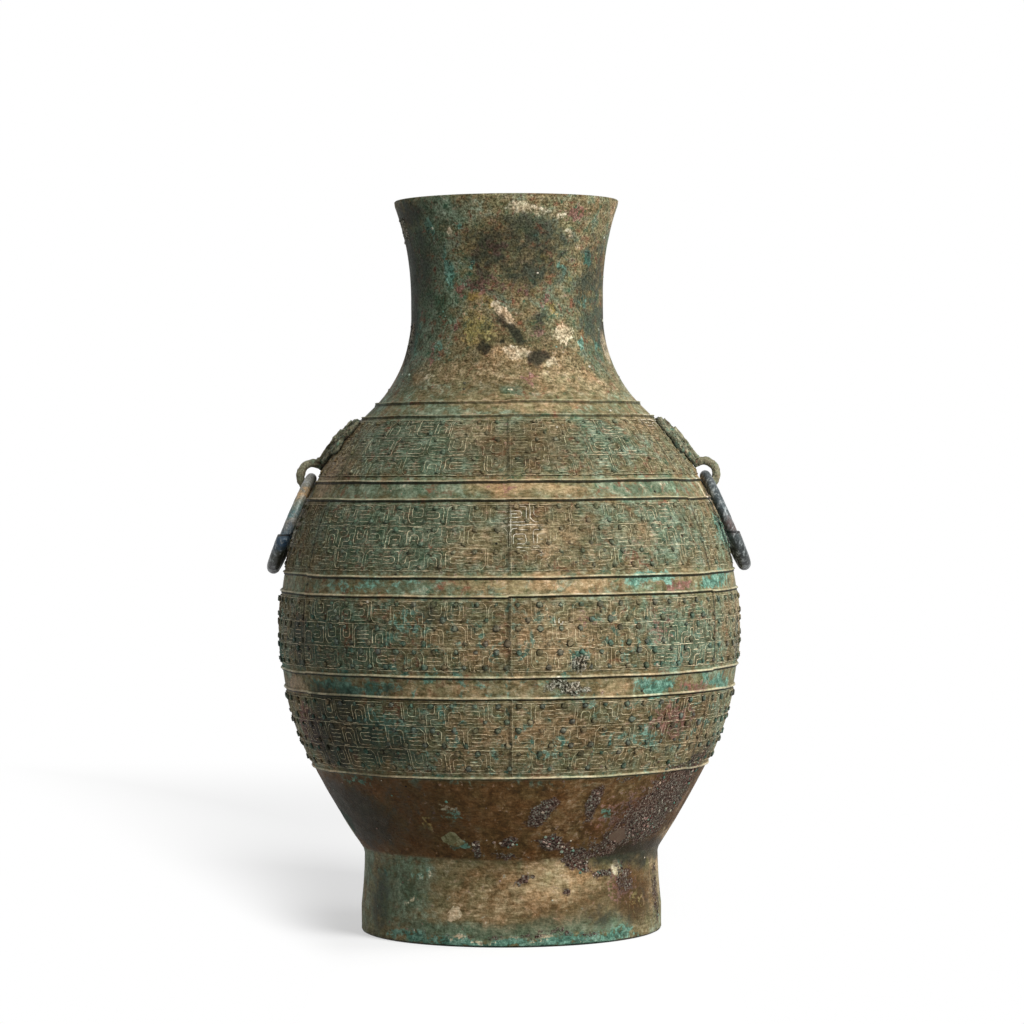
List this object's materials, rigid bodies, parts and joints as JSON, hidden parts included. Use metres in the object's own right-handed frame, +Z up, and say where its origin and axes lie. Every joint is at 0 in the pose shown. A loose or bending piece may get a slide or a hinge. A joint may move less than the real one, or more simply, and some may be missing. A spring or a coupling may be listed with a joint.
{
  "type": "bronze hu vessel",
  "caption": "Tall bronze wine vessel with a flared neck, swelling belly and ring foot, string ridges, scroll bands and beast-mask handles that carry swinging rings.",
  "frame": {"origin": "centre of the foot's base, on the vessel's axis", "axes": "+Z up along the vessel's axis, +X towards the mask and ring on the right of the picture, -Y towards its camera"},
  "size_m": [0.2418, 0.2302, 0.363],
  "materials": {
    "bronze_patina": "cast bronze under a mottled green, olive and tan patina",
    "chaplet_bronze": "cast bronze, flush with the wall, worn and tan",
    "mask_bronze": "cast bronze under a rough grey-green patina",
    "solder": "dull grey tin-lead solder",
    "ring_bronze": "cast bronze under a smooth dark blue-grey patina"
  },
  "bodies": {
    "vessel": {"vessel_body": "bronze_patina", "wall_chaplets": "chaplet_bronze", "floor_chaplets": "chaplet_bronze", "right_mask": "mask_bronze", "left_mask": "mask_bronze", "right_mask_solder": "solder", "left_mask_solder": "solder"},
    "right_ring": {"right_ring": "ring_bronze"},
    "left_ring": {"left_ring": "ring_bronze"}
  },
  "joints": [
    {"name": "right_ring_swing", "type": "hinge", "parent": "vessel", "child": "right_ring", "pos_m": [0.09833, 0, 0.2256], "axis": [0, -1, 0], "range_deg": [0, 185]},
    {"name": "left_ring_swing", "type": "hinge", "parent": "vessel", "child": "left_ring", "pos_m": [-0.09833, 0, 0.2256], "axis": [0, 1, 0], "range_deg": [0, 185]}
  ]
}
